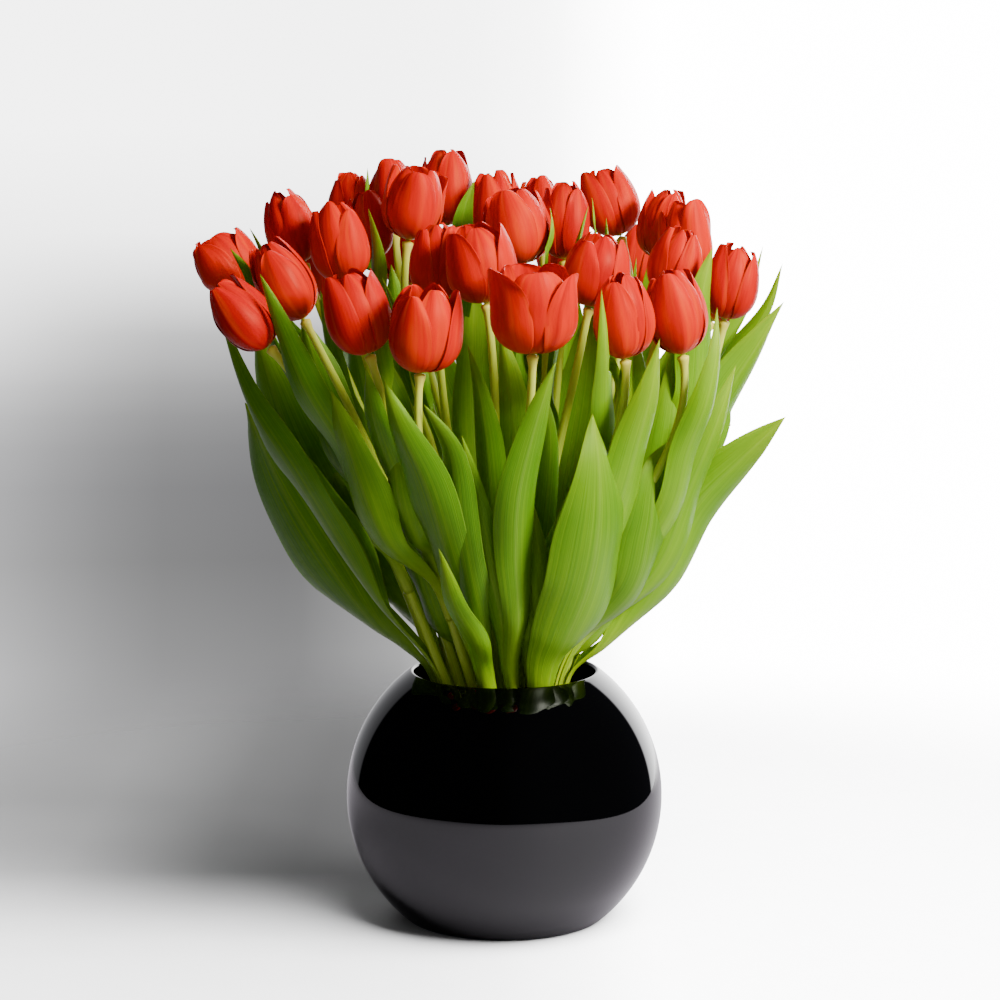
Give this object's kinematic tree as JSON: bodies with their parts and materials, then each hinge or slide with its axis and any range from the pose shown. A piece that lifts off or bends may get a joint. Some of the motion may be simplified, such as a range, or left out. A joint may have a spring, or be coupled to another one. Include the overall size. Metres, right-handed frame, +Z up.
{
  "type": "tulips in a vase",
  "caption": "Bunch of cut red tulips with long green leaves, standing in water in a round black glass fishbowl vase.",
  "frame": {"origin": "centre of the vase's flat base, on the surface that the vase stands on", "axes": "+Z up along the vase's axis; +X to the right and +Y away from the viewer in the picture's view"},
  "size_m": [0.3678, 0.3128, 0.4859],
  "materials": {
    "black_glass": "gloss",
    "water": "gloss",
    "petal": "satin",
    "green": "satin"
  },
  "bodies": {
    "root": {"bloom_01": "petal", "bloom_02": "petal", "bloom_03": "petal", "bloom_04": "petal", "bloom_05": "petal", "bloom_06": "petal", "bloom_07": "petal", "bloom_08": "petal", "bloom_09": "petal", "bloom_10": "petal", "bloom_11": "petal", "bloom_12": "petal", "bloom_13": "petal", "bloom_14": "petal", "bloom_15": "petal", "bloom_16": "petal", "bloom_17": "petal", "bloom_18": "petal", "bloom_19": "petal", "bloom_20": "petal", "bloom_21": "petal", "bloom_22": "petal", "bloom_23": "petal", "bloom_24": "petal", "bloom_25": "petal", "bloom_26": "petal", "bloom_27": "petal", "bloom_28": "petal", "bloom_29": "petal", "bloom_30": "petal", "bloom_31": "petal", "bloom_32": "petal", "bloom_33": "petal", "bloom_34": "petal", "leafy_stem_01": "green", "leafy_stem_02": "green", "leafy_stem_03_05": "green", "leafy_stem_04": "green", "leafy_stem_06_09_12_24_25_28_29_30_31_32_33_34": "green", "leafy_stem_07_08_17": "green", "leafy_stem_10": "green", "leafy_stem_11_15": "green", "leafy_stem_13": "green", "leafy_stem_14": "green", "leafy_stem_16": "green", "leafy_stem_18": "green", "leafy_stem_19_20": "green", "leafy_stem_21": "green", "leafy_stem_22_23_26_27": "green", "vase": "black_glass", "water": "water"}
  },
  "joints": []
}
